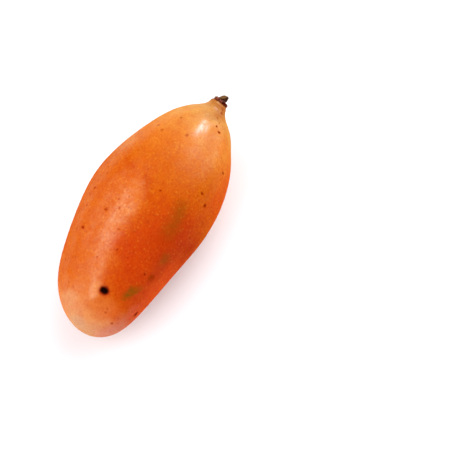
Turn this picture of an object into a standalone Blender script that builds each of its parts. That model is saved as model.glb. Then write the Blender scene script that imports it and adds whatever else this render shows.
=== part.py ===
"""A ripe mango lying on its cheek, with its calyx ring and a stub of broken stem.

Units are metres, +Z is up. The origin is the middle of the small flat spot that the
fruit rests on. The fruit lies along X, with its stem end towards +X and its fuller
side towards +Y.
"""

import math

import bmesh
import bpy
import numpy as np
from mathutils import Vector

MM = 0.001

# Fruit, in millimetres along its own axis from the blossom end to the neck
LENGTH = 141.7
# Distance from the blossom end, sideways offset, half width, lift, half thickness
PROFILE = (
    (6.0, 1.5, 14.5, 1.0, 13.0),
    (17.0, 3.5, 22.0, 0.5, 20.0),
    (34.0, 5.0, 27.0, 0.0, 24.5),
    (54.0, 5.5, 31.0, -0.5, 28.0),
    (74.0, 5.0, 33.5, -0.5, 30.0),
    (94.0, 3.5, 31.5, 0.0, 28.5),
    (111.0, 2.5, 26.0, 1.0, 24.0),
    (123.5, 1.8, 19.4, 2.5, 18.0),
    (132.0, 0.6, 12.6, 3.5, 12.0),
    (138.0, 0.5, 6.1, 4.5, 6.0),
    (141.7, 0.35, 4.2, 5.0, 4.0),
)
# The same four sizes of the half ellipsoid that the blossom end rounds into
BLOSSOM_END = (2.0, 36.5, 2.0, 33.0)
# Share by which a section stands outside a plain ellipse at its diagonals
SECTION_FULLNESS = 0.02
# The sphere's angle where the skin ends and the neck's end face begins
NECK_ANGLE = math.radians(170.0)
# Slopes by which the neck's end face turns away from the fuller side and up
NECK_TURN = 0.17
NECK_RISE = 0.18
# Share of the length over which the sections come to lean with the neck
NECK_LEAN_FROM = 0.78
SEGMENTS = 80
RINGS = 54

# Lying pose: where the blossom end is, and how the fruit has settled on its cheek
BLOSSOM_END_AT = (-69.0, -4.2, 24.0)
ROLL = math.radians(4.0)
PITCH = math.radians(-4.5)

# Socket in the neck, calyx ring and stem stub, in millimetres along the stem
GAP = 0.3
SOCKET_RADIUS = 2.5
SOCKET_DEPTH = 3.8
RING_INNER_RADIUS = 2.5
RING_OUTER_RADIUS = 4.2
RING_THICKNESS = 1.7
RING_LOBES = 5
RING_LOBE_HEIGHT = 0.25
# Two low swellings make the lobes uneven, and each lobe is a little thicker
RING_SWELLINGS = 2
RING_SWELLING_HEIGHT = 0.12
RING_SWELLING_TURN = math.radians(57.0)
RING_LOBE_THICKENING = 0.12
RING_SEGMENTS = 60
RING_SIDES = 14
# Height above the neck's end face and radius, from the root to the broken end
STUB_PROFILE = (
    (-3.5, 0.0),
    (-3.5, 1.7),
    (-3.0, 2.1),
    (1.9, 2.2),
    (2.6, 2.4),
    (3.6, 2.35),
    (4.8, 2.2),
    (5.1, 1.9),
    (5.2, 0.0),
)
STUB_SEGMENTS = 36
# The slanted break: a point on it, and the direction it faces, in the stem's frame
BREAK_AT = (0.0, 0.3, 4.6)
BREAK_NORMAL = (-0.5, 0.62, 0.6)

# Cutters, in millimetres: each only has to reach past what it cuts
TABLE_SIZE = (100.0, 60.0, 10.0)
CHIP_SIZE = (12.0, 12.0, 6.0)
SOCKET_OVERRUN = 2.0
# Points closer than this are one point
WELD = 0.001

# Colour, roughness and metallic value
FRUIT_COLOUR = (0.80, 0.21, 0.035, 1.0)
FRUIT_ROUGHNESS = 0.38
RING_COLOUR = (0.15, 0.028, 0.012, 1.0)
RING_ROUGHNESS = 0.55
STUB_COLOUR = (0.17, 0.085, 0.035, 1.0)
STUB_ROUGHNESS = 0.8


def clear_scene():
    for obj in list(bpy.data.objects):
        bpy.data.objects.remove(obj, do_unlink=True)


def new_collection(name, hidden=False):
    collection = bpy.data.collections.new(name)
    collection.hide_render = hidden
    bpy.context.scene.collection.children.link(collection)
    return collection


def new_material(name, colour, roughness):
    material = bpy.data.materials.new(name)
    material.use_nodes = True
    shader = material.node_tree.nodes["Principled BSDF"]
    shader.inputs["Base Color"].default_value = colour
    shader.inputs["Roughness"].default_value = roughness
    shader.inputs["Metallic"].default_value = 0.0
    material.diffuse_color = colour
    return material


def object_from_bmesh(bm, name, collection, parent=None, material=None):
    """A smooth-shaded object of the bmesh, which is sized in millimetres."""
    bmesh.ops.recalc_face_normals(bm, faces=bm.faces)
    for vertex in bm.verts:
        vertex.co *= MM
    for face in bm.faces:
        face.smooth = True
    mesh = bpy.data.meshes.new(name)
    bm.to_mesh(mesh)
    bm.free()
    if material is not None:
        mesh.materials.append(material)
    obj = bpy.data.objects.new(name, mesh)
    obj.parent = parent
    collection.objects.link(obj)
    return obj


def empty(name, collection, location, rotation, parent=None):
    obj = bpy.data.objects.new(name, None)
    obj.empty_display_size = 0.01
    obj.location = [value * MM for value in location]
    obj.rotation_euler = rotation
    obj.parent = parent
    collection.objects.link(obj)
    return obj


def cut(obj, cutter):
    cutter.hide_render = True
    cutter.display_type = "WIRE"
    boolean = obj.modifiers.new(cutter.name, "BOOLEAN")
    boolean.operation = "DIFFERENCE"
    boolean.solver = "EXACT"
    boolean.object = cutter


def natural_spline(knots, rows):
    """Second derivatives at the knots of the natural cubic splines through the rows."""
    steps = np.diff(knots)
    system = np.eye(len(knots))
    slopes = np.diff(rows, axis=0) / steps[:, None]
    right = np.zeros_like(rows)
    for i in range(1, len(knots) - 1):
        system[i, i - 1 : i + 2] = (steps[i - 1], 2 * (steps[i - 1] + steps[i]), steps[i])
        right[i] = 6 * (slopes[i] - slopes[i - 1])
    return np.linalg.solve(system, right)


def spline_at(knots, rows, bends, angle):
    i = min(max(int(np.searchsorted(knots, angle)) - 1, 0), len(knots) - 2)
    step = knots[i + 1] - knots[i]
    a = (knots[i + 1] - angle) / step
    b = 1 - a
    bend = (a**3 - a) * bends[i] + (b**3 - b) * bends[i + 1]
    return a * rows[i] + b * rows[i + 1] + bend * step**2 / 6


def distance_at(angle):
    """How far along the fruit the sphere's angle lies."""
    return LENGTH * (1 - math.cos(angle)) / (1 - math.cos(NECK_ANGLE))


def skin_splines():
    """The profile as knots and rows over the sphere's angle, each size shared by its sine."""
    knots = [0.0]
    rows = [BLOSSOM_END]
    for distance, *sizes in PROFILE:
        angle = math.acos(1 - distance / LENGTH * (1 - math.cos(NECK_ANGLE)))
        knots.append(angle)
        rows.append([size / math.sin(angle) for size in sizes])
    knots = np.array(knots)
    rows = np.array(rows)
    return knots, rows, natural_spline(knots, rows)


def skin_point(splines, angle, around):
    """The skin at an angle from the blossom end and an angle around the axis."""
    inward = max(0.0, (angle - NECK_ANGLE) / (math.pi - NECK_ANGLE))
    angle = min(angle, NECK_ANGLE)
    sizes = spline_at(*splines, angle) * math.sin(angle)
    offset, half_width, lift, half_thickness = sizes
    full = (1 + SECTION_FULLNESS * math.sin(2 * around) ** 2) * (1 - inward)
    sideways = half_width * full * math.cos(around)
    up = half_thickness * full * math.sin(around)
    distance = distance_at(angle)
    lean = (distance / LENGTH - NECK_LEAN_FROM) / (1 - NECK_LEAN_FROM)
    lean = min(max(lean, 0.0), 1.0)
    lean = lean * lean * (3 - 2 * lean)
    distance += lean * (NECK_TURN * sideways - NECK_RISE * up)
    return Vector((distance, offset + sideways, lift + up))


def make_fruit(collection, parent, material):
    """A UV sphere, pole to pole along X, drawn out to the fruit's sections."""
    splines = skin_splines()
    bm = bmesh.new()
    bmesh.ops.create_uvsphere(bm, u_segments=SEGMENTS, v_segments=RINGS, radius=1.0)
    for vertex in bm.verts:
        x, y, z = vertex.co
        angle = math.acos(max(-1.0, min(1.0, -z)))
        vertex.co = skin_point(splines, angle, math.atan2(y, x))
    return object_from_bmesh(bm, "fruit", collection, parent, material)


def make_socket_cutter(collection, parent):
    bm = bmesh.new()
    bmesh.ops.create_cone(
        bm,
        cap_ends=True,
        segments=STUB_SEGMENTS,
        radius1=SOCKET_RADIUS,
        radius2=SOCKET_RADIUS,
        depth=SOCKET_DEPTH + SOCKET_OVERRUN,
    )
    middle = (SOCKET_OVERRUN - SOCKET_DEPTH) / 2
    bmesh.ops.translate(bm, verts=bm.verts, vec=(0.0, 0.0, middle))
    return object_from_bmesh(bm, "socket", collection, parent)


def make_box(name, collection, parent, size, centre):
    bm = bmesh.new()
    bmesh.ops.create_cube(bm, size=1.0)
    bmesh.ops.scale(bm, verts=bm.verts, vec=size)
    bmesh.ops.translate(bm, verts=bm.verts, vec=centre)
    return object_from_bmesh(bm, name, collection, parent)


def make_ring(collection, parent, material):
    """A torus whose outer side swells into the lobes of the old calyx."""
    middle = (RING_INNER_RADIUS + RING_OUTER_RADIUS) / 2
    half_breadth = (RING_OUTER_RADIUS - RING_INNER_RADIUS) / 2
    half_height = RING_THICKNESS / 2
    bm = bmesh.new()
    profile = []
    for i in range(RING_SIDES):
        turn = math.tau * i / RING_SIDES
        profile.append(
            bm.verts.new(
                (middle + half_breadth * math.cos(turn), 0.0, half_height * math.sin(turn))
            )
        )
    edges = [bm.edges.new((profile[i - 1], profile[i])) for i in range(RING_SIDES)]
    bmesh.ops.spin(
        bm,
        geom=profile + edges,
        cent=(0.0, 0.0, 0.0),
        axis=(0.0, 0.0, 1.0),
        angle=math.tau,
        steps=RING_SEGMENTS,
        use_merge=True,
    )
    for vertex in bm.verts:
        x, y, z = vertex.co
        around = math.atan2(y, x)
        radius = math.hypot(x, y)
        outward = max(0.0, (radius - middle) / half_breadth)
        lobe = math.cos(RING_LOBES * around)
        swelling = math.sin(RING_SWELLINGS * around + RING_SWELLING_TURN)
        swollen = radius + outward * (
            RING_LOBE_HEIGHT * lobe + RING_SWELLING_HEIGHT * swelling
        )
        vertex.co.x = x * swollen / radius
        vertex.co.y = y * swollen / radius
        vertex.co.z = z * (1 + RING_LOBE_THICKENING * lobe)
    ring = object_from_bmesh(bm, "calyx_ring", collection, parent, material)
    ring.location.z = (GAP + half_height * (1 + RING_LOBE_THICKENING)) * MM
    return ring


def make_stub(collection, cutters, parent, material):
    """The stem turned from its profile, then broken off on a slant."""
    bm = bmesh.new()
    profile = [bm.verts.new((radius, 0.0, height)) for height, radius in STUB_PROFILE]
    edges = [bm.edges.new(pair) for pair in zip(profile, profile[1:])]
    bmesh.ops.spin(
        bm,
        geom=profile + edges,
        cent=(0.0, 0.0, 0.0),
        axis=(0.0, 0.0, 1.0),
        angle=math.tau,
        steps=STUB_SEGMENTS,
        use_merge=True,
    )
    bmesh.ops.remove_doubles(bm, verts=bm.verts, dist=WELD)
    stub = object_from_bmesh(bm, "stem_stub", collection, parent, material)
    centre = (0.0, 0.0, CHIP_SIZE[2] / 2)
    chip = make_box("broken_off", cutters, parent, CHIP_SIZE, centre)
    chip.location = Vector(BREAK_AT) * MM
    chip.rotation_euler = Vector(BREAK_NORMAL).to_track_quat("Z", "Y").to_euler()
    cut(stub, chip)
    return stub


def main():
    clear_scene()
    mango = new_collection("mango")
    cutters = new_collection("cutters", hidden=True)

    lying = empty("lying_pose", mango, BLOSSOM_END_AT, (ROLL, PITCH, 0.0))
    fruit = make_fruit(mango, lying, new_material("fruit_skin", FRUIT_COLOUR, FRUIT_ROUGHNESS))

    # The stem's frame: its origin on the neck's end face, its Z out along the stem
    _, neck_offset, _, neck_lift, _ = PROFILE[-1]
    rise = math.atan2(NECK_RISE, math.hypot(1.0, NECK_TURN))
    stem = empty(
        "stem_frame",
        mango,
        (LENGTH, neck_offset, neck_lift),
        (0.0, math.pi / 2 - rise, -math.atan(NECK_TURN)),
        lying,
    )

    below = (0.0, 0.0, -TABLE_SIZE[2] / 2)
    cut(fruit, make_box("table", cutters, None, TABLE_SIZE, below))
    cut(fruit, make_socket_cutter(cutters, stem))

    make_ring(mango, stem, new_material("calyx_ring", RING_COLOUR, RING_ROUGHNESS))
    make_stub(mango, cutters, stem, new_material("stem_stub", STUB_COLOUR, STUB_ROUGHNESS))


main()
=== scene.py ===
import math

import bpy
import numpy as np
from mathutils import Euler, Matrix, Vector, noise


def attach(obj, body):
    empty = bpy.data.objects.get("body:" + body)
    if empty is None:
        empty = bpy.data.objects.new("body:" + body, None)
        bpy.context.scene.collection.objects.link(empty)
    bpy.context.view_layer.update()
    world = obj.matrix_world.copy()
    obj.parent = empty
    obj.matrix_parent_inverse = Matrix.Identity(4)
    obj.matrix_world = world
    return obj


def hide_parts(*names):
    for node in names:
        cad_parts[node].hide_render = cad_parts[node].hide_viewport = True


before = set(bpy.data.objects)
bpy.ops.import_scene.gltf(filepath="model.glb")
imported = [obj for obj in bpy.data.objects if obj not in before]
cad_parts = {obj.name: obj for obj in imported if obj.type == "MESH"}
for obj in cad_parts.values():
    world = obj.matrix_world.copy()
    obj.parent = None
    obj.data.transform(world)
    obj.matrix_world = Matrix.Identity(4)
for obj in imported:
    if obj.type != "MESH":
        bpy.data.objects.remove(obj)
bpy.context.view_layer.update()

MM = 0.001

# The fruit's own sizes in millimetres, as its solid has them
LENGTH = 141.7
# Distance from the blossom end, sideways offset, half width, lift, half thickness
PROFILE = (
    (6.0, 1.5, 14.5, 1.0, 13.0),
    (17.0, 3.5, 22.0, 0.5, 20.0),
    (34.0, 5.0, 27.0, 0.0, 24.5),
    (54.0, 5.5, 31.0, -0.5, 28.0),
    (74.0, 5.0, 33.5, -0.5, 30.0),
    (94.0, 3.5, 31.5, 0.0, 28.5),
    (111.0, 2.5, 26.0, 1.0, 24.0),
    (123.5, 1.8, 19.4, 2.5, 18.0),
    (132.0, 0.6, 12.6, 3.5, 12.0),
    (138.0, 0.5, 6.1, 4.5, 6.0),
    (141.7, 0.35, 4.2, 5.0, 4.0),
)
BLOSSOM_END = (2.0, 36.5, 2.0, 33.0)
SECTION_FULLNESS = 0.02
NECK_ANGLE = math.radians(170.0)
NECK_TURN = 0.17
NECK_RISE = 0.18
NECK_LEAN_FROM = 0.78
BLOSSOM_END_AT = (-69.0, -4.2, 24.0)
ROLL = math.radians(4.0)
PITCH = math.radians(-4.5)

# The fruit's finer mesh
GRID_AROUND = 90
GRID_ALONG = 180
# How far the skin lies inside the solid, and its broad hollows as breadth and depth
SKIN_INSET = 0.03
HOLLOWS = ((22.0, 0.22), (8.0, 0.07))
HOLLOW_SEED = Vector((3.1, 7.7, 1.3))
# Folds that run up the neck, and the distances at which they start and are full
NECK_FOLDS = 17
NECK_FOLD_DEPTH = 0.20
NECK_FOLDS_FROM = 120.0
NECK_FOLDS_FULL = 139.0
# How the folds wander round the neck, as turns, reach and start, and their twist along it
NECK_FOLD_SWAYS = ((2, 2.2, 0.0), (3, 1.3, 1.0))
NECK_FOLD_TWIST = 0.12
# The patches in which they are deeper
NECK_FOLD_PATCH_SIZE = 2.5
NECK_FOLD_SEED = Vector((6.2, 0.4, 5.5))

# The dark spot: distance along the fruit, degrees round it from its fuller side, radius
DARK_SPOT = (20.8, 104.0, 2.2)
# How many degrees it spreads each way, its depth, and its floor and rim by its radius
DARK_SPOT_SPREAD = 0.9
DARK_SPOT_DEPTH = 0.25
DARK_SPOT_FLOOR = 0.3
DARK_SPOT_RIM = 1.15

# Small brown specks on the side that shows: distance, degrees round, radius, darkness
SPECKS = (
    (18.2, 31.0, 0.55, 0.50),
    (26.0, 36.2, 0.65, 0.75),
    (42.6, 39.5, 0.60, 0.55),
    (43.7, 49.2, 0.85, 0.85),
    (33.5, 79.5, 0.60, 0.50),
    (36.4, 94.0, 0.65, 0.55),
    (41.2, 96.0, 0.75, 0.85),
    (53.1, 101.0, 0.55, 0.60),
    (12.4, 118.5, 0.75, 0.70),
    (10.0, 141.5, 0.75, 0.70),
    (11.2, 150.0, 0.55, 0.45),
    (38.2, 133.8, 0.80, 0.80),
    (55.2, 41.2, 0.60, 0.50),
    (60.3, 39.9, 0.50, 0.40),
    (64.7, 41.5, 0.80, 0.65),
    (69.0, 40.6, 0.50, 0.45),
    (72.2, 40.0, 0.60, 0.50),
    (74.3, 47.2, 0.55, 0.50),
    (77.9, 41.5, 0.60, 0.50),
    (82.9, 36.5, 0.50, 0.40),
    (56.6, 66.5, 1.10, 0.65),
    (59.9, 77.5, 0.70, 0.50),
    (77.3, 99.8, 0.75, 0.85),
    (80.3, 82.8, 0.60, 0.50),
    (63.5, 73.0, 0.55, 0.50),
    (67.0, 80.5, 0.50, 0.45),
    (61.8, 84.5, 0.50, 0.40),
    (70.6, 72.0, 0.55, 0.45),
    (50.4, 87.0, 0.50, 0.45),
    (47.2, 84.2, 0.45, 0.40),
    (83.9, 80.0, 0.60, 0.40),
    (110.1, 51.2, 0.85, 0.48),
    (107.6, 62.2, 0.90, 0.52),
    (119.5, 66.0, 0.85, 0.58),
    (110.9, 89.5, 0.90, 0.55),
    (127.7, 118.2, 0.70, 0.95),
    (125.2, 126.3, 0.75, 1.00),
    (132.9, 114.8, 0.60, 0.75),
    (139.3, 136.0, 0.75, 0.85),
    (137.4, 133.6, 0.70, 0.75),
    (131.0, 121.5, 0.60, 0.70),
    (105.5, 148.8, 0.95, 1.00),
    (88.9, 132.8, 0.95, 1.00),
    (84.5, 143.8, 1.05, 1.00),
    (20.6, 168.8, 1.60, 0.95),
)

# Green patches that haven't ripened: both ends as distance and degrees, radius, strength
GREEN_PATCHES = (
    ((23.3, 129.9), (26.0, 132.5), 1.7, 0.65),
    ((26.5, 133.0), (28.5, 134.5), 2.7, 0.80),
    ((28.5, 135.5), (31.5, 141.0), 1.9, 0.45),
    ((76.1, 124.0), (73.5, 124.8), 4.4, 0.46),
    ((65.2, 127.5), (63.4, 127.6), 5.0, 0.42),
    ((69.6, 127.0), (70.4, 127.2), 4.2, 0.20),
    ((49.7, 143.4), (50.9, 143.0), 3.2, 0.50),
)

# A brown smudge: distance, degrees, radius, strength, and its full-strength middle
BROWN_SMUDGE = (39.2, 143.6, 2.9, 0.85)
BROWN_SMUDGE_MIDDLE = 0.2

# Places where the bloom is rubbed thin: distance, degrees, radius, strength
RUBBED_PLACES = (
    (29.0, 68.0, 12.0, 0.24),
    (38.0, 26.0, 10.0, 0.25),
    (70.4, 82.0, 11.0, 0.22),
    (111.7, 90.4, 8.0, 0.26),
)

# Places where the bloom is thick and waxy: distance, degrees, radius, strength
WAXY_PLACES = (
    (67.6, 77.7, 4.0, 0.60),
    (62.0, 82.5, 3.5, 0.65),
    (54.9, 77.3, 3.5, 0.55),
    (44.5, 80.2, 4.0, 0.15),
    (30.8, 86.7, 3.5, 0.18),
    (22.0, 87.1, 3.5, 0.40),
)

# Red blotches: distance, degrees, radius, strength
RED_BLOTCHES = (
    (81.5, 64.6, 3.6, 0.55),
    (77.6, 58.6, 3.4, 0.45),
    (84.5, 57.0, 2.8, 0.35),
    (78.9, 84.6, 3.6, 0.65),
    (76.4, 88.5, 3.4, 0.80),
    (72.0, 95.0, 3.0, 0.35),
    (56.6, 89.5, 3.4, 0.30),
    (56.8, 125.4, 5.2, 0.45),
    (52.0, 120.5, 4.6, 0.40),
    (57.5, 139.4, 4.2, 0.40),
)

# The ring's sizes in millimetres, and its uneven lobes
RING_INNER_RADIUS = 2.2
RING_OUTER_RADIUS = 4.55
RING_THICKNESS = 1.9
RING_BASE = -0.15
RING_SQUARENESS = 0.68
RING_LOBES = 5
RING_LOBE_HEIGHT = 0.25
RING_SWELLINGS = 2
RING_SWELLING_HEIGHT = 0.12
RING_SWELLING_TURN = math.radians(57.0)
RING_TOP_LOBE_SHARE = 0.16
RING_TOP_SWELLING_SHARE = 0.10
# Its lumps and grain, its creases by share of a lobe, and where its underside is smooth
RING_LUMP_SIZE = 1.2
RING_LUMP_DEPTH = 0.70
RING_LUMP_LEVEL = 0.25
RING_LUMP_SEED = Vector((5.0, 1.0, 2.0))
RING_GRAIN_SIZE = 0.35
RING_GRAIN_DEPTH = 0.14
RING_GRAIN_SEED = Vector((1.0, 9.0, 4.0))
RING_CREASE_SIZE = 0.10
RING_CREASE_DEPTH = 0.25
RING_UNDERSIDE = (-1.0, -0.3)
RING_GRID = (220, 56)

# The stub's outline as heights and radii, in millimetres along the stem
STUB_PROFILE = (
    (-3.5, 0.0),
    (-3.5, 1.7),
    (-3.0, 2.1),
    (1.9, 2.2),
    (2.6, 2.4),
    (3.6, 2.35),
    (4.8, 2.2),
    (5.1, 1.9),
    (5.2, 0.0),
)
STUB_GRID = (160, 150)
# Its bark: ridges that wander and twist, lumps and stretched grain, with their depths
BARK_SWELL = 0.12
BARK_RIDGES = 13
BARK_RIDGE_SWAYS = 3
BARK_RIDGE_SWAY_REACH = 1.7
BARK_RIDGE_TWIST = 0.5
BARK_RIDGE_DEPTH = 0.08
BARK_LUMP_SIZE = 1.3
BARK_LUMP_DEPTH = 0.16
BARK_LUMP_SEED = Vector((8.0, 3.0, 6.0))
BARK_STRETCH = (1.0, 1.0, 0.25)
BARK_GRAIN_SIZE = 0.30
BARK_GRAIN_DEPTH = 0.06
BARK_GRAIN_SEED = Vector((2.0, 2.0, 7.0))
# The radii over which the bark's relief sets in from the middle of each end
BARK_SETS_IN = (0.2, 1.6)
# The plane of the slanted break, and the torn fibres on it
BREAK_AT = (0.0, 0.3, 4.6)
BREAK_NORMAL = Vector((-0.5, 0.62, 0.6)).normalized()
TORN_SIZE = 0.45
TORN_DEPTH = 0.40
TORN_LEVEL = 0.3
TORN_SEED = Vector((4.0, 4.0, 1.0))

# Camera, fitted to the photograph's outline, with distances in metres
PHOTO_SIZE = 453
SENSOR_WIDTH = 36.0
FOCAL_PIXELS = 1242.6
CAMERA_TARGET = Vector((0.016114, -0.039628, 0.027985))
CAMERA_DISTANCE = 0.648
CAMERA_ELEVATION = math.radians(68.0)
CAMERA_HEADING = math.radians(29.409)
CAMERA_SEES_FROM = 0.01
CAMERA_SEES_TO = 20.0

# Light: the room's own, and soft glows as direction, half width in degrees and radiance.
# One set lights the skin and the floor, the other is what glossy surfaces mirror.
ROOM_LIGHT = 0.50
LIGHT_GLOWS = (
    ((0.85, -0.15, 0.50), 55.0, 2.6),
    ((-0.70, 0.42, 0.58), 65.0, 1.75),
)
ROOM_MIRRORED = 0.02
MIRRORED_GLOWS = (
    ((-0.11, 0.36, 0.93), 22.0, 4.6),
    ((-0.12, 0.60, 0.79), 40.0, 1.5),
    ((-0.43, 0.10, 0.90), 16.0, 4.2),
    ((-0.56, 0.10, 0.82), 10.0, 6.0),
    ((-0.60, 0.55, 0.60), 32.0, 0.6),
    ((-0.45, 0.75, 0.35), 60.0, 0.9),
    ((0.85, -0.32, 0.42), 46.0, 2.95),
    ((0.76, -0.06, 0.65), 18.0, 2.3),
    ((0.55, 0.65, -0.50), 60.0, 0.9),
)
MIRRORED_COLOUR = (0.73, 1.0, 0.70)
# The white floor in reflections, how softly it ends at the horizon, and its shaded side
FLOOR_MIRRORED = 0.30
HORIZON_SOFTNESS = 0.15
SHADED_SIDE = ((-0.10, -0.95, -0.30), 75.0)
# The white background, as the camera sees it
BACKDROP_RADIANCE = 1.0
# Window panes, which glossy surfaces alone mirror: direction, width, height, radiance
WINDOW_DISTANCE = 1.2
WINDOW_AIM = Vector((0.0, 0.0, 0.03))
WINDOW_PANES = (
    ((0.87, -0.03, 0.49), 0.17, 0.36, 17.5),
    ((0.893, -0.185, 0.40), 0.080, 0.12, 20.0),
)
PANE_COLOUR = (0.72, 0.88, 1.12)

# The floor, with its half size in metres
FLOOR_HALF_SIZE = 6.0
FLOOR_COLOUR = (0.93, 0.935, 0.97)


# Mesh helpers

def mesh_object(name, points, faces, matrix, material):
    """A smooth-shaded piece, from points in millimetres in the frame of the matrix."""
    mesh = bpy.data.meshes.new(name)
    mesh.from_pydata((np.asarray(points) * MM).tolist(), [], faces)
    mesh.transform(matrix)
    mesh.materials.append(material)
    mesh.polygons.foreach_set("use_smooth", [True] * len(mesh.polygons))
    mesh.update()
    obj = bpy.data.objects.new(name, mesh)
    bpy.context.scene.collection.objects.link(obj)
    return obj


def smooth_step(low, high, value):
    share = np.clip((value - low) / (high - low), 0.0, 1.0)
    return share * share * (3 - 2 * share)


def fractal(points, size, seed, octaves=2):
    """Soft noise from 0 to 1 at each point, with lumps about the given size."""
    values = [
        noise.fractal(Vector(p) / size + seed, 1.0, 2.0, octaves) for p in points.tolist()
    ]
    return np.clip(0.5 + 0.5 * np.array(values), 0.0, 1.0)


def vertex_normals(points, quads):
    a, b, c, d = (points[quads[:, i]] for i in range(4))
    across = np.cross(c - a, d - b)
    normals = np.zeros_like(points)
    for i in range(4):
        np.add.at(normals, quads[:, i], across)
    return normals / np.linalg.norm(normals, axis=1, keepdims=True)


# The fruit's shape

def natural_spline(knots, rows):
    steps = np.diff(knots)
    system = np.eye(len(knots))
    slopes = np.diff(rows, axis=0) / steps[:, None]
    right = np.zeros_like(rows)
    for i in range(1, len(knots) - 1):
        system[i, i - 1 : i + 2] = (steps[i - 1], 2 * (steps[i - 1] + steps[i]), steps[i])
        right[i] = 6 * (slopes[i] - slopes[i - 1])
    return np.linalg.solve(system, right)


def skin_splines():
    knots = [0.0]
    rows = [BLOSSOM_END]
    for distance, *sizes in PROFILE:
        angle = math.acos(1 - distance / LENGTH * (1 - math.cos(NECK_ANGLE)))
        knots.append(angle)
        rows.append([size / math.sin(angle) for size in sizes])
    knots = np.array(knots)
    rows = np.array(rows)
    return knots, rows, natural_spline(knots, rows)


SPLINES = skin_splines()


def skin_points(angle, around):
    """Points of the skin, in millimetres in the fruit's own frame."""
    knots, rows, bends = SPLINES
    angle, around = np.broadcast_arrays(np.atleast_1d(angle), np.atleast_1d(around))
    # Past the neck's angle the skin closes over the end of the neck
    inward = np.clip((angle - NECK_ANGLE) / (math.pi - NECK_ANGLE), 0.0, 1.0)
    angle = np.minimum(angle, NECK_ANGLE)
    i = np.clip(np.searchsorted(knots, angle) - 1, 0, len(knots) - 2)
    step = knots[i + 1] - knots[i]
    a = (knots[i + 1] - angle) / step
    b = 1 - a
    share = a[:, None] * rows[i] + b[:, None] * rows[i + 1]
    bend = (a**3 - a)[:, None] * bends[i] + (b**3 - b)[:, None] * bends[i + 1]
    sizes = (share + bend * (step**2 / 6)[:, None]) * np.sin(angle)[:, None]
    offset, half_width, lift, half_thickness = sizes.T
    full = (1 + SECTION_FULLNESS * np.sin(2 * around) ** 2) * (1 - inward)
    sideways = half_width * full * np.cos(around)
    up = half_thickness * full * np.sin(around)
    distance = LENGTH * (1 - np.cos(angle)) / (1 - math.cos(NECK_ANGLE))
    lean = smooth_step(NECK_LEAN_FROM, 1.0, distance / LENGTH)
    distance = distance + lean * (NECK_TURN * sideways - NECK_RISE * up)
    return np.stack([distance, offset + sideways, lift + up], axis=1)


def place(distance, degrees_round):
    """The point of the skin at a distance along the fruit and degrees round it."""
    angle = math.acos(1 - distance / LENGTH * (1 - math.cos(NECK_ANGLE)))
    return Vector(skin_points(angle, math.radians(degrees_round))[0])


def box_sphere(around, along):
    """Unit vectors and quads of a box's grid blown up to a sphere, longer cells along Z."""
    cells = (around, around, along)
    lines = [np.tan(np.linspace(-1, 1, n + 1) * math.pi / 4) for n in cells]
    points = []
    quads = []
    for axis in range(3):
        u_axis, v_axis = (axis + 1) % 3, (axis + 2) % 3
        u, v = np.meshgrid(lines[u_axis], lines[v_axis], indexing="ij")
        rows, columns = u.shape
        index = np.arange(rows * columns).reshape(rows, columns)
        corners = [index[:-1, :-1], index[1:, :-1], index[1:, 1:], index[:-1, 1:]]
        for side in (-1, 1):
            face = np.zeros((rows * columns, 3))
            face[:, axis] = side
            face[:, u_axis] = u.ravel()
            face[:, v_axis] = v.ravel()
            turned = corners if side > 0 else corners[::-1]
            start = sum(len(p) for p in points)
            quads.append(np.stack([c.ravel() for c in turned], axis=1) + start)
            points.append(face)
    points = np.concatenate(points)
    quads = np.concatenate(quads)
    _, first, index = np.unique(
        np.round(points, 6), axis=0, return_index=True, return_inverse=True
    )
    points = points[first]
    points /= np.linalg.norm(points, axis=1, keepdims=True)
    return points, index.reshape(-1)[quads]


def pose_matrix():
    turn = Euler((ROLL, PITCH, 0.0)).to_matrix().to_4x4()
    return Matrix.Translation(Vector(BLOSSOM_END_AT) * MM) @ turn


def make_fruit(pose, material):
    unit, quads = box_sphere(GRID_AROUND, GRID_ALONG)
    angle = np.arccos(np.clip(-unit[:, 2], -1, 1))
    around = np.arctan2(unit[:, 1], unit[:, 0])
    points = skin_points(angle, around)
    normals = vertex_normals(points, quads)
    if np.mean((normals * (points - points.mean(0))).sum(1)) < 0:
        quads = quads[:, ::-1]
        normals = -normals

    depth = np.full(len(points), SKIN_INSET)
    for size, deepest in HOLLOWS:
        depth += deepest * fractal(points, size, HOLLOW_SEED)
    spot = np.array(place(*DARK_SPOT[:2]))
    away = np.linalg.norm(points - spot, axis=1) / DARK_SPOT[2]
    depth += DARK_SPOT_DEPTH * (1 - smooth_step(DARK_SPOT_FLOOR, DARK_SPOT_RIM, away))
    along = points[:, 0]
    wander = NECK_FOLD_TWIST * along
    for turns, reach, start in NECK_FOLD_SWAYS:
        wander = wander + reach * np.sin(turns * around + start)
    folds = 0.5 + 0.5 * np.cos(NECK_FOLDS * around + wander)
    folds *= fractal(points, NECK_FOLD_PATCH_SIZE, NECK_FOLD_SEED)
    folds *= smooth_step(NECK_FOLDS_FROM, NECK_FOLDS_FULL, along)
    depth += NECK_FOLD_DEPTH * folds
    points = points - normals * depth[:, None]

    # The skin is cut flat where it would pass the floor, which makes the rest spot
    turn = np.array(pose)[:3, :3]
    shift = np.array(pose)[:3, 3] / MM
    world = points @ turn.T + shift
    world[:, 2] = np.maximum(world[:, 2], 0.0)
    points = (world - shift) @ turn
    return mesh_object("mango_fruit", points, quads.tolist(), pose, material)


def stem_matrix(pose):
    _, offset, _, lift, _ = PROFILE[-1]
    rise = math.atan2(NECK_RISE, math.hypot(1.0, NECK_TURN))
    turn = Euler((0.0, math.pi / 2 - rise, -math.atan(NECK_TURN))).to_matrix().to_4x4()
    return pose @ Matrix.Translation(Vector((LENGTH, offset, lift)) * MM) @ turn


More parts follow.
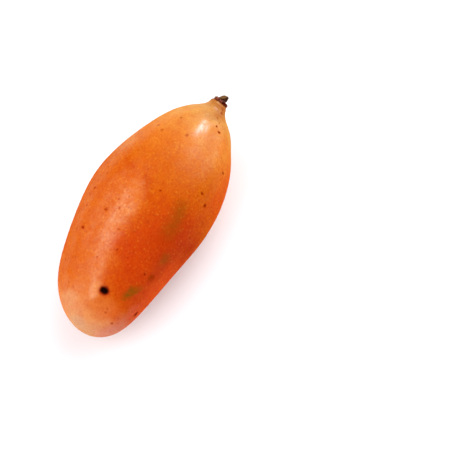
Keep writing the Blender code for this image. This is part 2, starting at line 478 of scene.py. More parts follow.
def grid_quads(rows, columns, close_rows):
    """Quads of a grid that closes on itself along its columns, and along its rows if asked."""
    r = np.arange(rows if close_rows else rows - 1)
    c = np.arange(columns)
    r, c = np.meshgrid(r, c, indexing="ij")
    below = ((r + 1) % rows) * columns
    here = r * columns
    right = (c + 1) % columns
    return np.stack([here + c, here + right, below + right, below + c], axis=-1).reshape(-1, 4)


def make_ring(matrix, material):
    """The collar of calyx scars: five uneven lobes with a crease between them."""
    columns, rows = RING_GRID
    middle = (RING_INNER_RADIUS + RING_OUTER_RADIUS) / 2
    half_breadth = (RING_OUTER_RADIUS - RING_INNER_RADIUS) / 2
    half_height = RING_THICKNESS / 2
    turn = np.linspace(0, math.tau, rows, endpoint=False)
    around = np.linspace(0, math.tau, columns, endpoint=False)
    turn, around = np.meshgrid(turn, around, indexing="ij")
    turn, around = turn.ravel(), around.ravel()
    lobe = np.cos(RING_LOBES * around)
    swelling = np.sin(RING_SWELLINGS * around + RING_SWELLING_TURN)
    across, upward = np.cos(turn), np.sin(turn)
    outward = np.maximum(0.0, across)
    radius = middle + half_breadth * np.sign(across) * np.abs(across) ** RING_SQUARENESS
    radius += outward * (RING_LOBE_HEIGHT * lobe + RING_SWELLING_HEIGHT * swelling)
    height = half_height * np.sign(upward) * np.abs(upward) ** RING_SQUARENESS
    uneven = 1 + RING_TOP_LOBE_SHARE * lobe + RING_TOP_SWELLING_SHARE * swelling
    height *= np.where(upward > 0, uneven, 1.0)
    points = np.stack([radius * np.cos(around), radius * np.sin(around), height], axis=1)
    quads = grid_quads(rows, columns, True)
    normals = vertex_normals(points, quads)
    core = np.stack([middle * np.cos(around), middle * np.sin(around), 0 * around], axis=1)
    if (normals * (points - core)).sum() < 0:
        quads = quads[:, ::-1]
        normals = -normals
    lumps = fractal(points, RING_LUMP_SIZE, RING_LUMP_SEED, octaves=3)
    grain = fractal(points, RING_GRAIN_SIZE, RING_GRAIN_SEED)
    from_crease = np.abs(np.mod(RING_LOBES * around / math.tau, 1.0) - 0.5)
    crease = 1 - smooth_step(0.0, RING_CREASE_SIZE, from_crease)
    depth = RING_LUMP_DEPTH * (lumps - RING_LUMP_LEVEL) + RING_GRAIN_DEPTH * grain
    depth += RING_CREASE_DEPTH * crease * outward
    depth *= smooth_step(*RING_UNDERSIDE, upward)
    points = points - normals * depth[:, None]
    points[:, 2] += RING_BASE + half_height
    return mesh_object("mango_calyx_ring", points, quads.tolist(), matrix, material)


def make_stub(matrix, material):
    """The broken stem: ridged bark round the side, torn fibres on the slanted break."""
    columns, rows = STUB_GRID
    heights = np.array([h for h, _ in STUB_PROFILE])
    radii = np.array([r for _, r in STUB_PROFILE])
    length = np.concatenate([[0], np.cumsum(np.hypot(np.diff(heights), np.diff(radii)))])
    along = np.linspace(0.0, length[-1], rows)
    height = np.interp(along, length, heights)
    radius = np.interp(along, length, radii)
    around = np.linspace(0, math.tau, columns, endpoint=False)
    h, a = np.meshgrid(height, around, indexing="ij")
    r = np.meshgrid(radius, around, indexing="ij")[0]
    h, a, r = h.ravel(), a.ravel(), r.ravel()
    wander = BARK_RIDGE_SWAY_REACH * np.sin(BARK_RIDGE_SWAYS * a) + BARK_RIDGE_TWIST * h
    ridges = 0.5 + 0.5 * np.cos(BARK_RIDGES * a + wander)
    smooth = np.stack([r * np.cos(a), r * np.sin(a), h], axis=1)
    lumps = fractal(smooth, BARK_LUMP_SIZE, BARK_LUMP_SEED, octaves=3)
    grain = fractal(smooth * np.array(BARK_STRETCH), BARK_GRAIN_SIZE, BARK_GRAIN_SEED)
    sunk = BARK_RIDGE_DEPTH * ridges + BARK_LUMP_DEPTH * lumps + BARK_GRAIN_DEPTH * grain
    r = r + smooth_step(*BARK_SETS_IN, r) * (BARK_SWELL - sunk)
    x = r * np.cos(a)
    y = r * np.sin(a)
    nx, ny, nz = BREAK_NORMAL
    bx, by, bz = BREAK_AT
    limit = bz - (nx * (x - bx) + ny * (y - by)) / nz
    torn = fractal(np.stack([x, y, 0 * x], axis=1), TORN_SIZE, TORN_SEED, octaves=3)
    limit = limit - TORN_DEPTH * (torn - TORN_LEVEL)
    z = np.minimum(h, limit)
    points = np.stack([x, y, z], axis=1)
    # One point closes each end, with a fan of triangles round it
    bottom = points[:columns].mean(0)
    top = points[-columns:].mean(0)
    points = np.vstack([bottom, points[columns:-columns], top])
    sides = [(i, (i + 1) % columns) for i in range(columns)]
    last = len(points) - 1
    last_row = last - columns
    faces = (grid_quads(rows - 2, columns, False) + 1).tolist()
    faces += [(0, 1 + b, 1 + a) for a, b in sides]
    faces += [(last_row + a, last_row + b, last) for a, b in sides]
    return mesh_object("mango_stem_stub", points, faces, matrix, material)


# Material helpers

class Nodes:
    """Builds one material's nodes. Each method returns the socket that it made."""

    def __init__(self, name, frame_matrix=Matrix.Identity(4)):
        self.material = bpy.data.materials.new(name)
        self.material.use_nodes = True
        self.tree = self.material.node_tree
        self.shader = self.tree.nodes["Principled BSDF"]
        coordinates = self.tree.nodes.new("ShaderNodeTexCoord")
        mapping = self.tree.nodes.new("ShaderNodeMapping")
        mapping.vector_type = "TEXTURE"
        mapping.inputs["Location"].default_value = frame_matrix.to_translation()
        mapping.inputs["Rotation"].default_value = frame_matrix.to_euler()
        self.tree.links.new(coordinates.outputs["Object"], mapping.inputs["Vector"])
        self.position = self.vector("SCALE", mapping.outputs["Vector"], scale=1 / MM)

    def put(self, socket, value):
        if isinstance(value, bpy.types.NodeSocket):
            self.tree.links.new(value, socket)
        else:
            socket.default_value = value

    def vector(self, operation, a, b=None, scale=None):
        node = self.tree.nodes.new("ShaderNodeVectorMath")
        node.operation = operation
        self.put(node.inputs[0], a)
        if b is not None:
            self.put(node.inputs[1], b)
        if scale is not None:
            self.put(node.inputs["Scale"], scale)
        value = operation in ("DISTANCE", "LENGTH", "DOT_PRODUCT")
        return node.outputs["Value" if value else "Vector"]

    def math(self, operation, a, b=None, c=None, clamp=False):
        node = self.tree.nodes.new("ShaderNodeMath")
        node.operation = operation
        node.use_clamp = clamp
        for socket, value in zip(node.inputs, (a, b, c)):
            if value is not None:
                self.put(socket, value)
        return node.outputs[0]

    def axis(self, position, name):
        node = self.tree.nodes.new("ShaderNodeSeparateXYZ")
        self.put(node.inputs[0], position)
        return node.outputs[name]

    def product(self, *factors):
        result = factors[0]
        for factor in factors[1:]:
            result = self.math("MULTIPLY", result, factor)
        return result

    def strongest(self, *values):
        result = values[0]
        for value in values[1:]:
            result = self.math("MAXIMUM", result, value)
        return result

    def noise(self, position, size, detail=2.0, roughness=0.5, colour=False):
        """Noise with lumps about the given size, in millimetres."""
        node = self.tree.nodes.new("ShaderNodeTexNoise")
        self.put(node.inputs["Vector"], position)
        node.inputs["Scale"].default_value = 1 / size
        node.inputs["Detail"].default_value = detail
        node.inputs["Roughness"].default_value = roughness
        return node.outputs["Color" if colour else "Fac"]

    def sway(self, size):
        """A shift up to half a millimetre each way, which changes over the given size."""
        colour = self.noise(self.position, size, 3.0, colour=True)
        return self.vector("SUBTRACT", colour, (0.5, 0.5, 0.5))

    def shifted(self, sway, reach):
        """The position, moved by the sway times the reach."""
        return self.vector("ADD", self.position, self.vector("SCALE", sway, scale=reach))

    def cells(self, position, spacing):
        """Distance from the middle of the nearest cell, in cells, and its random colour."""
        node = self.tree.nodes.new("ShaderNodeTexVoronoi")
        self.put(node.inputs["Vector"], position)
        node.inputs["Scale"].default_value = 1 / spacing
        return node.outputs["Distance"], node.outputs["Color"]

    def fade(self, value, start, end, low=0.0, high=1.0):
        """low at the start value, high at the end value, and smooth between them."""
        node = self.tree.nodes.new("ShaderNodeMapRange")
        node.interpolation_type = "SMOOTHSTEP"
        self.put(node.inputs["Value"], value)
        node.inputs["From Min"].default_value = start
        node.inputs["From Max"].default_value = end
        self.put(node.inputs["To Min"], low)
        self.put(node.inputs["To Max"], high)
        return node.outputs["Result"]

    def ramp(self, value, stops):
        node = self.tree.nodes.new("ShaderNodeValToRGB")
        self.put(node.inputs["Fac"], value)
        elements = node.color_ramp.elements
        while len(elements) < len(stops):
            elements.new(0.5)
        for element, (position, colour) in zip(elements, stops):
            element.position = position
            element.color = (*colour, 1.0)
        return node.outputs["Color"]

    def mix(self, share, a, b, blend="MIX"):
        """Two colours mixed, through the Mix node's colour sockets 6 and 7."""
        node = self.tree.nodes.new("ShaderNodeMix")
        node.data_type = "RGBA"
        node.blend_type = blend
        sockets = (node.inputs[0], node.inputs[6], node.inputs[7])
        for socket, value in zip(sockets, (share, a, b)):
            self.put(socket, (*value, 1.0) if isinstance(value, tuple) else value)
        return node.outputs[2]

    def blob(self, position, centre, radii, core=0.0):
        """1 within the core's share of an ellipsoid, falling smoothly to 0 on its surface."""
        away = self.vector("SUBTRACT", position, tuple(centre))
        away = self.vector("DIVIDE", away, radii)
        return self.fade(self.vector("LENGTH", away), 1.0, core)

    def streak(self, position, start, end):
        """Distance from the line between two points."""
        line = end - start
        away = self.vector("SUBTRACT", position, tuple(start))
        share = self.vector("DOT_PRODUCT", away, tuple(line / line.length_squared))
        share = self.math("MINIMUM", self.math("MAXIMUM", share, 0.0), 1.0)
        near = self.vector("SCALE", tuple(line), scale=share)
        return self.vector("DISTANCE", away, near)

    def facing(self):
        """0 where the skin faces the viewer, 1 where it turns away."""
        node = self.tree.nodes.new("ShaderNodeLayerWeight")
        node.inputs["Blend"].default_value = 0.5
        return node.outputs["Facing"]

    def bump(self, height, depth, normal=None):
        """Relief from a height of 0 to 1, which stands for the depth in millimetres."""
        node = self.tree.nodes.new("ShaderNodeBump")
        node.inputs["Strength"].default_value = 1.0
        node.inputs["Distance"].default_value = depth * MM
        self.put(node.inputs["Height"], height)
        if normal is not None:
            self.put(node.inputs["Normal"], normal)
        return node.outputs["Normal"]

    def relief(self, rows):
        """Lumps on lumps, from rows of size, detail, roughness and depth."""
        normal = None
        for *texture, depth in rows:
            normal = self.bump(self.noise(self.position, *texture), depth, normal)
        return normal

    def finish(self, **sockets):
        """Gives the shader's sockets their values and returns the material."""
        for name, value in sockets.items():
            value = (*value, 1.0) if isinstance(value, tuple) else value
            self.put(self.shader.inputs[name.replace("_", " ")], value)
        return self.material


# Materials

# Skin colours as linear values; some of them also serve for painted light, as marked where
# they are used
BLOSSOM_PEACH = (0.60, 0.255, 0.112)
PALE_TIP_AND_PAINTED_REFLECTION = (0.52, 0.27, 0.15)
SALMON = (0.64, 0.205, 0.062)
LOWER_ORANGE = (0.61, 0.140, 0.022)
ORANGE = (0.55, 0.088, 0.0008)
UPPER_ORANGE = (0.55, 0.098, 0.002)
AMBER = (0.60, 0.142, 0.012)
NECK_AMBER = (0.62, 0.212, 0.036)
NECK_OCHRE = (0.57, 0.250, 0.056)
NECK_BROWN = (0.44, 0.150, 0.030)
NECK_TAN = (0.42, 0.125, 0.024)
NECK_STRAW_AND_PAINTED_REFLECTION = (0.57, 0.30, 0.115)
RED_BLUSH = (0.50, 0.041, 0.0004)
DEEP_BLUSH = (0.43, 0.031, 0.0003)
RED_RIM_AND_PAINTED_BOUNCE_LIGHT = (0.66, 0.068, 0.006)
PALE_ORANGE_AND_PAINTED_SHEEN = (0.60, 0.125, 0.008)
PEACH_AND_PAINTED_SHEEN = (0.64, 0.185, 0.030)
ROSE_AND_PAINTED_REFLECTION = (0.62, 0.195, 0.130)
PINK_SHOULDER = (0.67, 0.074, 0.002)
GOLD_SHOULDER = (0.68, 0.185, 0.018)
COLLAR_STAIN = (0.17, 0.026, 0.005)
UNRIPE_GREEN = (0.17, 0.070, 0.002)
BRUISE_BROWN = (0.25, 0.024, 0.001)
BLOTCH_RED = (0.43, 0.034, 0.0004)
SPECK_RED = (0.31, 0.015, 0.001)
SPECK_BROWN = (0.16, 0.012, 0.001)
SPOT_BLACK = (0.006, 0.0012, 0.001)
SPOT_HALO = (0.36, 0.020, 0.001)
# What the skin's colour is multiplied by: redder to yellower patches and grain, dark pores
PATCH_TINTS = ((0.97, 0.88, 0.88), (1.03, 1.12, 1.12))
GRAIN_TINTS = ((0.91, 0.75, 0.75), (1.09, 1.25, 1.25))
DARK_PORE_TINT = (0.78, 0.55, 0.50)
# What a pale dot adds to the skin's colour
PALE_DOT_LIGHT = (0.045, 0.058, 0.006)

# The skin's colours from the blossom end to the stem, by share of the fruit's length
SKIN_COLOURS = (
    (0.01, BLOSSOM_PEACH),
    (0.05, SALMON),
    (0.09, LOWER_ORANGE),
    (0.135, ORANGE),
    (0.50, ORANGE),
    (0.64, UPPER_ORANGE),
    (0.75, AMBER),
    (0.85, NECK_AMBER),
    (0.94, NECK_OCHRE),
    (0.99, NECK_BROWN),
)

# Tinted parts of the skin, a few of which are painted light as marked: centre as distance and
# degrees, radii, core, colour, strength
BLUSHES_AND_PAINTED_LIGHT = (
    ((48.0, 142.0), (42.0, 36.0, 36.0), 0.45, RED_BLUSH, 0.97),
    ((54.0, 150.0), (26.0, 17.0, 20.0), 0.30, DEEP_BLUSH, 0.75),
    ((84.0, 70.0), (15.0, 17.0, 14.0), 0.20, RED_BLUSH, 0.12),
    # Partly the skin's own paler colour and partly painted sheen: the next three lighten the
    # band where the glossy skin mirrors the light from above.
    ((64.0, 84.0), (17.0, 9.0, 9.0), 0.20, PALE_ORANGE_AND_PAINTED_SHEEN, 0.62),
    ((30.0, 91.0), (12.0, 6.0, 6.0), 0.20, PALE_ORANGE_AND_PAINTED_SHEEN, 0.45),
    ((18.5, 93.0), (6.0, 4.5, 4.5), 0.10, PEACH_AND_PAINTED_SHEEN, 0.60),
    ((9.0, 40.0), (9.0, 9.0, 9.0), 0.20, BLOSSOM_PEACH, 0.48),
    ((24.0, 55.0), (11.0, 15.0, 15.0), 0.40, ORANGE, 0.60),
    ((13.0, 130.0), (9.0, 9.0, 9.0), 0.20, RED_RIM_AND_PAINTED_BOUNCE_LIGHT, 0.27),
    # Partly the skin's own rosy colour and partly painted reflection: the next two make the
    # right-hand edge near the blossom end, as the camera sees it, paler and pinker where it
    # mirrors the white floor.
    ((7.0, 168.0), (15.0, 12.0, 14.0), 0.20, ROSE_AND_PAINTED_REFLECTION, 0.78),
    ((20.0, 172.0), (14.0, 9.0, 12.0), 0.20, ROSE_AND_PAINTED_REFLECTION, 0.32),
    ((137.5, 128.0), (10.0, 8.0, 8.0), 0.25, NECK_TAN, 0.60),
    ((133.5, 98.0), (9.0, 7.0, 7.0), 0.25, NECK_TAN, 0.95),
    ((138.0, 64.0), (5.0, 4.0, 4.0), 0.20, NECK_TAN, 0.60),
    ((119.0, 118.0), (12.0, 9.0, 9.0), 0.20, AMBER, 0.55),
    # Painted reflection: the next three make the left-hand edge, as the camera sees it, paler
    # where the skin mirrors the white floor; at the flank this is painted sheen alone, at the
    # neck and the blossom end partly the skin's own paler colour as well.
    ((100.0, 28.0), (20.0, 10.0, 12.0), 0.20, BLOSSOM_PEACH, 0.34),
    ((134.0, 35.0), (9.0, 8.0, 8.0), 0.20, NECK_STRAW_AND_PAINTED_REFLECTION, 0.50),
    ((3.0, 60.0), (8.0, 9.0, 9.0), 0.20, PALE_TIP_AND_PAINTED_REFLECTION, 0.50),
    ((62.0, 255.0), (38.0, 20.0, 24.0), 0.25, RED_BLUSH, 0.40),
    ((100.0, 320.0), (26.0, 16.0, 20.0), 0.25, GOLD_SHOULDER, 0.45),
    ((26.0, 262.0), (20.0, 16.0, 16.0), 0.20, PALE_ORANGE_AND_PAINTED_SHEEN, 0.60),
    # Painted bounce light: a lighter strip along the right-hand edge, as the camera sees it,
    # where light thrown up from the white floor falls on the skin.
    ((34.0, 176.0), (34.0, 12.0, 15.0), 0.20, RED_RIM_AND_PAINTED_BOUNCE_LIGHT, 0.90),
    ((114.0, 150.0), (22.0, 15.0, 18.0), 0.20, GOLD_SHOULDER, 0.70),
    ((96.0, 168.0), (24.0, 14.0, 20.0), 0.30, PINK_SHOULDER, 0.70),
)

# How edges wander, in millimetres: the size of the wandering, and how far it reaches
SOFT_EDGE_SIZE = 14.0
SOFT_EDGE_REACH = 16.0
TORN_EDGE_SIZE = 3.0
TORN_EDGE_REACH = 2.6
DARK_SPOT_EDGE_REACH = 1.2
# Noise textures of the skin, as size in millimetres, detail and roughness
PATCHES = (6.0, 2.0, 0.65)
GRAIN = (1.0, 3.0, 0.65)
RAGGED = (1.6, 3.0, 0.6)
STAIN_EDGE = (1.4, 3.0, 0.6)
POLISH = (4.0, 3.0, 0.5)
BLOOM = (4.0, 4.0, 0.65)
BLOOM_GRAIN = (1.2, 3.0, 0.7)
# The range of a noise from 0 to 1 that is used, and the values at its ends
RIPENESS_RANGE = (0.25, 0.75, 0.0, 1.0)
RAGGED_RANGE = (0.30, 0.62, 0.45, 1.0)
POLISH_RANGE = (0.3, 0.7, 0.40, 0.52)
BLOOM_RANGE = (0.28, 0.72, 0.30, 0.80)
BLOOM_GRAIN_RANGE = (0.30, 0.70, 0.72, 1.26)
# Dots, pores and stray specks: millimetres between them, their rims and full-strength
# middles as shares of that, and how their strengths are spread
DOT_SPACING = 1.8
DOT_EDGE = (0.42, 0.08)
DOT_STRENGTHS = (0.1, 0.9, 0.10, 0.85)
PORE_SPACING = 3.4
PORE_EDGE = (0.22, 0.05)
PORE_STRENGTHS = (0.3, 1.0, 0.0, 0.9)
STRAY_SPECK_SPACING = 9.0
STRAY_SPECK_EDGE = (0.10, 0.05)
STRAY_SPECK_STRENGTHS = (0.25, 0.75, 0.0, 0.85)
# The heights below which stray specks set in and are in full
STRAY_SPECK_HEIGHTS = (6.0, -2.0)
# Changes along the fruit: first and last millimetre, share before and after
GRAIN_GROWS = (8.0, 30.0, 0.6, 1.0)
GRAIN_FADES = (95.0, 120.0, 1.0, 0.65)
DOTS_GROW = (12.0, 45.0, 0.15, 1.0)
DOTS_FADE = (95.0, 125.0, 1.0, 0.25)
NECK_GLOSS_FADES = (128.0, 134.0, 1.0, 0.6)
# How far marks reach, and their full-strength middles, as shares of their radius
BLOTCH_REACH = 1.4
GREEN_PATCH_REACH = 1.6
BLOOM_PLACE_REACH = 1.4
SPECK_REACH = 1.6
SPECK_MIDDLE = 0.3
SPOT_HALO_REACH = 1.7
SPOT_HALO_MIDDLE = 0.8
SPOT_REACH = 1.25
SPOT_MIDDLE = 0.55
SPOT_HALO_STRENGTH = 0.85
# How sharply a speck's brown middle stands off from its red edge
SPECK_BROWN_POWER = 3.5
# The stain under the collar: how far its edge wanders, and where it starts and is full
STAIN_EDGE_REACH = 3.2
STAIN_FROM = LENGTH - 0.6
STAIN_FULL = LENGTH + 1.2
# How much of their gloss unripe and red parts lose, and how fast marks take it away
PATCH_DULLNESS = 0.6
DULLNESS_GAIN = 1.7
# The gloss lessens where the skin turns away: from and to that turn, share before and after
GRAZING_GLOSS_FADES = (0.44, 0.80, 1.0, 0.18)
# How high the pale dots stand and how deep the specks lie, in millimetres
PALE_DOT_RISE = 0.03
SPECK_DEPTH = 0.06
# Relief, coarse to fine, as size, detail, roughness and depth
SKIN_RELIEF = ((6.5, 2.0, 0.5, 0.30), (2.4, 3.0, 0.6, 0.14), (1.1, 2.0, 0.5, 0.07))
RING_RELIEF = ((0.9, 2.0, 0.5, 0.30), (0.30, 3.0, 0.6, 0.08))
STUB_RELIEF = ((0.28, 4.0, 0.7, 0.14),)

# The ring's and the stub's textures, and their colours by the values of these
RING_MOTTLE = (1.3, 4.0, 0.6)
RING_COLOURS = (
    (0.32, (0.020, 0.0015, 0.0008)),
    (0.46, (0.120, 0.008, 0.0015)),
    (0.60, (0.250, 0.026, 0.004)),
    (0.74, (0.380, 0.090, 0.022)),
)
RING_ROUGHNESS_RANGE = (0.3, 0.7, 0.20, 0.36)
BARK = (0.45, 4.0, 0.6)
BARK_COLOURS = (
    (0.30, (0.010, 0.003, 0.001)),
    (0.52, (0.048, 0.013, 0.004)),
    (0.72, (0.15, 0.052, 0.016)),
)
PITH = (0.55, 4.0, 0.65)
PITH_COLOURS = (
    (0.30, (0.050, 0.017, 0.004)),
    (0.50, (0.16, 0.064, 0.015)),
    (0.70, (0.27, 0.125, 0.034)),
)
# The heights from the plane of the break over which bark gives way to pith
BARK_TO_PITH = (-0.62, -0.34)
STUB_SHINE_SIZE = 0.8
STUB_SHINE = 0.3


def spots(m, position, places, reach, middle=0.0):
    """The strongest of round marks, full in their middles and gone at their reach."""
    found = []
    for distance, degrees, radius, strength in places:
        away = m.vector("DISTANCE", position, tuple(place(distance, degrees)))
        found.append(m.fade(away, radius * reach, radius * middle, 0.0, strength))
    return m.strongest(*found)


def ripe_colour(m, from_tip):
    """The colours along the fruit with their blushes and painted light, uneven patches and
    grain.
    """
    soft = m.shifted(m.sway(SOFT_EDGE_SIZE), SOFT_EDGE_REACH)
    colour = m.ramp(m.math("DIVIDE", m.axis(soft, "X"), LENGTH), SKIN_COLOURS)
    for centre, radii, core, tint, strength in BLUSHES_AND_PAINTED_LIGHT:
        blush_and_painted_light = m.blob(soft, place(*centre), radii, core)
        colour = m.mix(m.product(blush_and_painted_light, strength), colour, tint)
    patches = m.fade(m.noise(m.position, *PATCHES), *RIPENESS_RANGE)
    colour = m.mix(1.0, colour, m.mix(patches, *PATCH_TINTS), "MULTIPLY")
    grain = m.fade(m.noise(m.position, *GRAIN), *RIPENESS_RANGE)
    share = m.product(m.fade(from_tip, *GRAIN_GROWS), m.fade(from_tip, *GRAIN_FADES))
    return m.mix(share, colour, m.mix(grain, *GRAIN_TINTS), "MULTIPLY")


def pale_dots(m, from_tip):
    """Fine dots of uneven strength, fewer towards both ends of the fruit."""
    distance, random = m.cells(m.position, DOT_SPACING)
    return m.product(
        m.fade(distance, *DOT_EDGE),
        m.fade(m.axis(random, "X"), *DOT_STRENGTHS),
        m.fade(from_tip, *DOTS_GROW),
        m.fade(from_tip, *DOTS_FADE),
    )


def dark_pores(m):
    distance, random = m.cells(m.position, PORE_SPACING)
    return m.product(
        m.fade(distance, *PORE_EDGE),
        m.fade(m.axis(random, "Y"), *PORE_STRENGTHS),
    )


def stray_specks(m):
    """Specks on the underside, where no named ones are."""
    distance, random = m.cells(m.position, STRAY_SPECK_SPACING)
    return m.product(
        m.fade(distance, *STRAY_SPECK_EDGE),
        m.fade(m.axis(random, "Z"), *STRAY_SPECK_STRENGTHS),
        m.fade(m.axis(m.position, "Z"), *STRAY_SPECK_HEIGHTS),
    )


def skin_material(pose):
    m = Nodes("fruit_skin_ripe", pose)
    from_tip = m.axis(m.position, "X")
    sway = m.sway(TORN_EDGE_SIZE)
    torn = m.shifted(sway, TORN_EDGE_REACH)
    ragged = m.fade(m.noise(m.position, *RAGGED), *RAGGED_RANGE)

    colour = ripe_colour(m, from_tip)
    dots = pale_dots(m, from_tip)
    colour = m.mix(dots, colour, PALE_DOT_LIGHT, "ADD")
    colour = m.mix(dark_pores(m), colour, m.mix(1.0, colour, DARK_PORE_TINT, "MULTIPLY"))

    # Red blotches, unripe green patches and the brown smudge
    blotches = m.product(spots(m, torn, RED_BLOTCHES, BLOTCH_REACH), ragged)
    colour = m.mix(blotches, colour, BLOTCH_RED)
    unripe = []
    for start, end, radius, strength in GREEN_PATCHES:
        away = m.streak(torn, place(*start), place(*end))
        patch = m.fade(away, radius * GREEN_PATCH_REACH, 0.0, 0.0, strength)
        colour = m.mix(m.product(patch, ragged), colour, UNRIPE_GREEN)
        unripe.append(patch)
    distance, degrees, radius, strength = BROWN_SMUDGE
    away = m.vector("DISTANCE", torn, tuple(place(distance, degrees)))
    smudge = m.fade(away, radius, BROWN_SMUDGE_MIDDLE, 0.0, strength)
    colour = m.mix(smudge, colour, BRUISE_BROWN)

    # The neck is stained red-brown where the collar sits on it
    wander = m.noise(m.position, *STAIN_EDGE)
    edge = m.math("MULTIPLY_ADD", wander, STAIN_EDGE_REACH, from_tip)
    colour = m.mix(m.fade(edge, STAIN_FROM, STAIN_FULL), colour, COLLAR_STAIN)

    # Specks, red at their edges and brown in their middles
    specks = m.strongest(spots(m, torn, SPECKS, SPECK_REACH, SPECK_MIDDLE), stray_specks(m))
    colour = m.mix(specks, colour, SPECK_RED)
    colour = m.mix(m.math("POWER", specks, SPECK_BROWN_POWER), colour, SPECK_BROWN)

    # The dark spot and its reddish edge
    distance, degrees, radius = DARK_SPOT
    start = place(distance, degrees - DARK_SPOT_SPREAD)
    end = place(distance, degrees + DARK_SPOT_SPREAD)
    away = m.streak(m.shifted(sway, DARK_SPOT_EDGE_REACH), start, end)
    reach, middle = radius * SPOT_HALO_REACH, radius * SPOT_HALO_MIDDLE
    halo = m.fade(away, reach, middle, 0.0, SPOT_HALO_STRENGTH)
    colour = m.mix(halo, colour, SPOT_HALO)
    spot = m.fade(away, radius * SPOT_REACH, radius * SPOT_MIDDLE)
    colour = m.mix(spot, colour, SPOT_BLACK)

    # Orange-peel relief, with the pale dots standing up and the specks sunk in
    relief = m.relief(SKIN_RELIEF)
    relief = m.bump(dots, PALE_DOT_RISE, relief)
    relief = m.bump(m.math("SUBTRACT", 1.0, specks), SPECK_DEPTH, relief)
    roughness = m.fade(m.noise(m.position, *POLISH), *POLISH_RANGE)

    # The gloss of the waxy bloom, which marks, patches and rubbed places lack
    dull = m.strongest(
        specks,
        spot,
        smudge,
        m.product(m.strongest(*unripe, blotches), PATCH_DULLNESS),
        spots(m, torn, RUBBED_PLACES, BLOOM_PLACE_REACH),
    )
    dull = m.math("MULTIPLY", dull, DULLNESS_GAIN, clamp=True)
    gloss = m.product(
        m.fade(m.noise(m.position, *BLOOM), *BLOOM_RANGE),
        m.fade(m.noise(m.position, *BLOOM_GRAIN), *BLOOM_GRAIN_RANGE),
        m.math("SUBTRACT", 1.0, dull),
        m.fade(m.facing(), *GRAZING_GLOSS_FADES),
        m.fade(from_tip, *NECK_GLOSS_FADES),
    )
    waxy = m.math("ADD", spots(m, torn, WAXY_PLACES, BLOOM_PLACE_REACH), 1.0)
    return m.finish(
        Base_Color=colour,
        Roughness=m.math("ADD", roughness, spot),
        Specular_IOR_Level=0.0,
        Coat_Weight=m.math("MULTIPLY", gloss, waxy, clamp=True),
        Coat_Roughness=0.18,
        Normal=relief,
    )


def ring_material(stem):
    m = Nodes("calyx_ring_dry", stem)
    mottle = m.noise(m.position, *RING_MOTTLE)
    return m.finish(
        Base_Color=m.ramp(mottle, RING_COLOURS),
        Roughness=m.fade(mottle, *RING_ROUGHNESS_RANGE),
        Specular_IOR_Level=0.35,
        Normal=m.relief(RING_RELIEF),
    )


def stub_material(stem):
    """Bark on the side and pith on the slanted break."""
    m = Nodes("stem_stub_dry", stem)
    from_break = m.vector("SUBTRACT", m.position, BREAK_AT)
    height = m.vector("DOT_PRODUCT", from_break, tuple(BREAK_NORMAL))
    stretched = m.vector("MULTIPLY", m.position, BARK_STRETCH)
    bark = m.ramp(m.noise(stretched, *BARK), BARK_COLOURS)
    pith = m.ramp(m.noise(m.position, *PITH), PITH_COLOURS)
    shine = m.product(m.noise(m.position, STUB_SHINE_SIZE), STUB_SHINE)
    return m.finish(
        Base_Color=m.mix(m.fade(height, *BARK_TO_PITH), bark, pith),
        Roughness=m.math("SUBTRACT", 0.85, shine),
        Specular_IOR_Level=0.15,
        Normal=m.relief(STUB_RELIEF),
    )


def floor_material():
    m = Nodes("studio_floor")
    return m.finish(Base_Color=FLOOR_COLOUR, Roughness=0.9, Specular_IOR_Level=0.0)


# Stage, lights and camera

def make_floor():
    size = FLOOR_HALF_SIZE
    mesh = bpy.data.meshes.new("floor")
    corners = [(-size, -size, 0.0), (size, -size, 0.0), (size, size, 0.0), (-size, size, 0.0)]
    mesh.from_pydata(corners, [], [(0, 1, 2, 3)])
    mesh.materials.append(floor_material())
    floor = bpy.data.objects.new("floor", mesh)
    floor.visible_glossy = False
    bpy.context.scene.collection.objects.link(floor)


def window_pane(name, direction, width, height, radiance):
    """A rectangular light that faces the fruit, as bright as its radiance says."""
    data = bpy.data.lights.new(name, "AREA")
    data.shape = "RECTANGLE"
    data.size = width
    data.size_y = height
    data.energy = radiance * math.pi * width * height
    data.color = PANE_COLOUR
    light = bpy.data.objects.new(name, data)
    direction = Vector(direction).normalized()
    light.location = direction * WINDOW_DISTANCE + WINDOW_AIM
    light.rotation_euler = direction.to_track_quat("Z", "Y").to_euler()
    light.visible_diffuse = False
    bpy.context.scene.collection.objects.link(light)


def sky(tree, direction, room, glows):
    """The room's even radiance with the soft glows added, as a socket."""
    total = tree.nodes.new("ShaderNodeValue").outputs[0]
    total.default_value = room
    for centre, half_width, radiance in glows:
        toward = tree.nodes.new("ShaderNodeVectorMath")
        toward.operation = "DOT_PRODUCT"
        tree.links.new(direction, toward.inputs[0])
        toward.inputs[1].default_value = Vector(centre).normalized()
        glow = tree.nodes.new("ShaderNodeMapRange")
        glow.interpolation_type = "SMOOTHERSTEP"
        tree.links.new(toward.outputs["Value"], glow.inputs["Value"])
        glow.inputs["From Min"].default_value = math.cos(math.radians(half_width))
        glow.inputs["From Max"].default_value = 1.0
        glow.inputs["To Max"].default_value = radiance
        add = tree.nodes.new("ShaderNodeMath")
        tree.links.new(glow.outputs["Result"], add.inputs[0])
        tree.links.new(total, add.inputs[1])
        total = add.outputs[0]
    return total


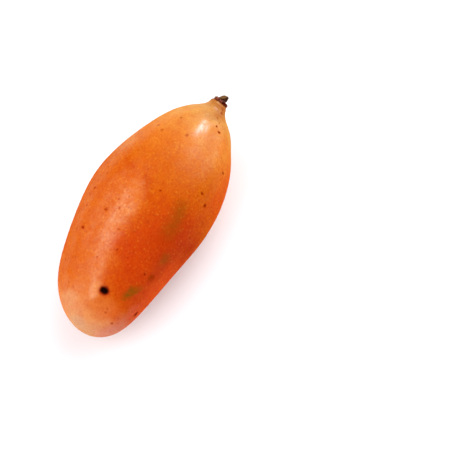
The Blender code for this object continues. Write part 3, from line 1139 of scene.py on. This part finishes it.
def mirrored_floor(tree, direction):
    """The radiance of the white floor below the horizon, less where it is in shade."""
    height = tree.nodes.new("ShaderNodeSeparateXYZ")
    tree.links.new(direction, height.inputs[0])
    floor = tree.nodes.new("ShaderNodeMapRange")
    floor.interpolation_type = "SMOOTHSTEP"
    tree.links.new(height.outputs["Z"], floor.inputs["Value"])
    floor.inputs["From Min"].default_value = HORIZON_SOFTNESS
    floor.inputs["From Max"].default_value = -HORIZON_SOFTNESS
    floor.inputs["To Max"].default_value = FLOOR_MIRRORED
    side, half_width = SHADED_SIDE
    shade = sky(tree, direction, 0.0, ((side, half_width, 1.0),))
    lit = tree.nodes.new("ShaderNodeMath")
    lit.operation = "SUBTRACT"
    lit.use_clamp = True
    lit.inputs[0].default_value = 1.0
    tree.links.new(shade, lit.inputs[1])
    share = tree.nodes.new("ShaderNodeMath")
    share.operation = "MULTIPLY"
    tree.links.new(floor.outputs["Result"], share.inputs[0])
    tree.links.new(lit.outputs[0], share.inputs[1])
    return share.outputs[0]


def make_world():
    """White to the eye, soft light from above for the rest, a dimmer room in reflections.

    A Mix node's sockets go by number: 2 and 3 are its values, 6 and 7 its colours.
    """
    world = bpy.data.worlds.new("studio")
    world.use_nodes = True
    tree = world.node_tree
    background = tree.nodes["Background"]
    direction = tree.nodes.new("ShaderNodeTexCoord").outputs["Generated"]
    ray = tree.nodes.new("ShaderNodeLightPath")
    colour = tree.nodes.new("ShaderNodeMix")
    colour.data_type = "RGBA"
    tree.links.new(ray.outputs["Is Glossy Ray"], colour.inputs[0])
    colour.inputs[6].default_value = (1.0, 1.0, 1.0, 1.0)
    colour.inputs[7].default_value = (*MIRRORED_COLOUR, 1.0)
    tree.links.new(colour.outputs[2], background.inputs["Color"])
    mirrored = tree.nodes.new("ShaderNodeMix")
    tree.links.new(ray.outputs["Is Glossy Ray"], mirrored.inputs[0])
    tree.links.new(sky(tree, direction, ROOM_LIGHT, LIGHT_GLOWS), mirrored.inputs[2])
    room = tree.nodes.new("ShaderNodeMath")
    tree.links.new(sky(tree, direction, ROOM_MIRRORED, MIRRORED_GLOWS), room.inputs[0])
    tree.links.new(mirrored_floor(tree, direction), room.inputs[1])
    tree.links.new(room.outputs[0], mirrored.inputs[3])
    seen = tree.nodes.new("ShaderNodeMix")
    tree.links.new(ray.outputs["Is Camera Ray"], seen.inputs[0])
    tree.links.new(mirrored.outputs[0], seen.inputs[2])
    seen.inputs[3].default_value = BACKDROP_RADIANCE
    tree.links.new(seen.outputs[0], background.inputs["Strength"])
    bpy.context.scene.world = world


def make_camera():
    data = bpy.data.cameras.new("camera")
    data.sensor_width = SENSOR_WIDTH
    data.lens = FOCAL_PIXELS / PHOTO_SIZE * SENSOR_WIDTH
    data.clip_start = CAMERA_SEES_FROM
    data.clip_end = CAMERA_SEES_TO
    camera = bpy.data.objects.new("camera", data)
    level = math.cos(CAMERA_ELEVATION)
    forward = Vector(
        (
            level * math.cos(CAMERA_HEADING),
            level * math.sin(CAMERA_HEADING),
            -math.sin(CAMERA_ELEVATION),
        )
    )
    camera.location = CAMERA_TARGET - forward * CAMERA_DISTANCE
    camera.rotation_euler = forward.to_track_quat("-Z", "Y").to_euler()
    bpy.context.scene.collection.objects.link(camera)
    bpy.context.scene.camera = camera


make_camera()
make_floor()
make_world()
for number, pane in enumerate(WINDOW_PANES):
    window_pane(f"window_pane_{number}", *pane)

lying_pose = pose_matrix()
stem_frame = stem_matrix(lying_pose)
fruit = make_fruit(lying_pose, skin_material(lying_pose))
ring = make_ring(stem_frame, ring_material(stem_frame))
stub = make_stub(stem_frame, stub_material(stem_frame))
for piece, node in ((fruit, "fruit"), (ring, "calyx_ring"), (stub, "stem_stub")):
    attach(piece, "root")
    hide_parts(node)

bpy.context.scene.view_settings.view_transform = "Standard"
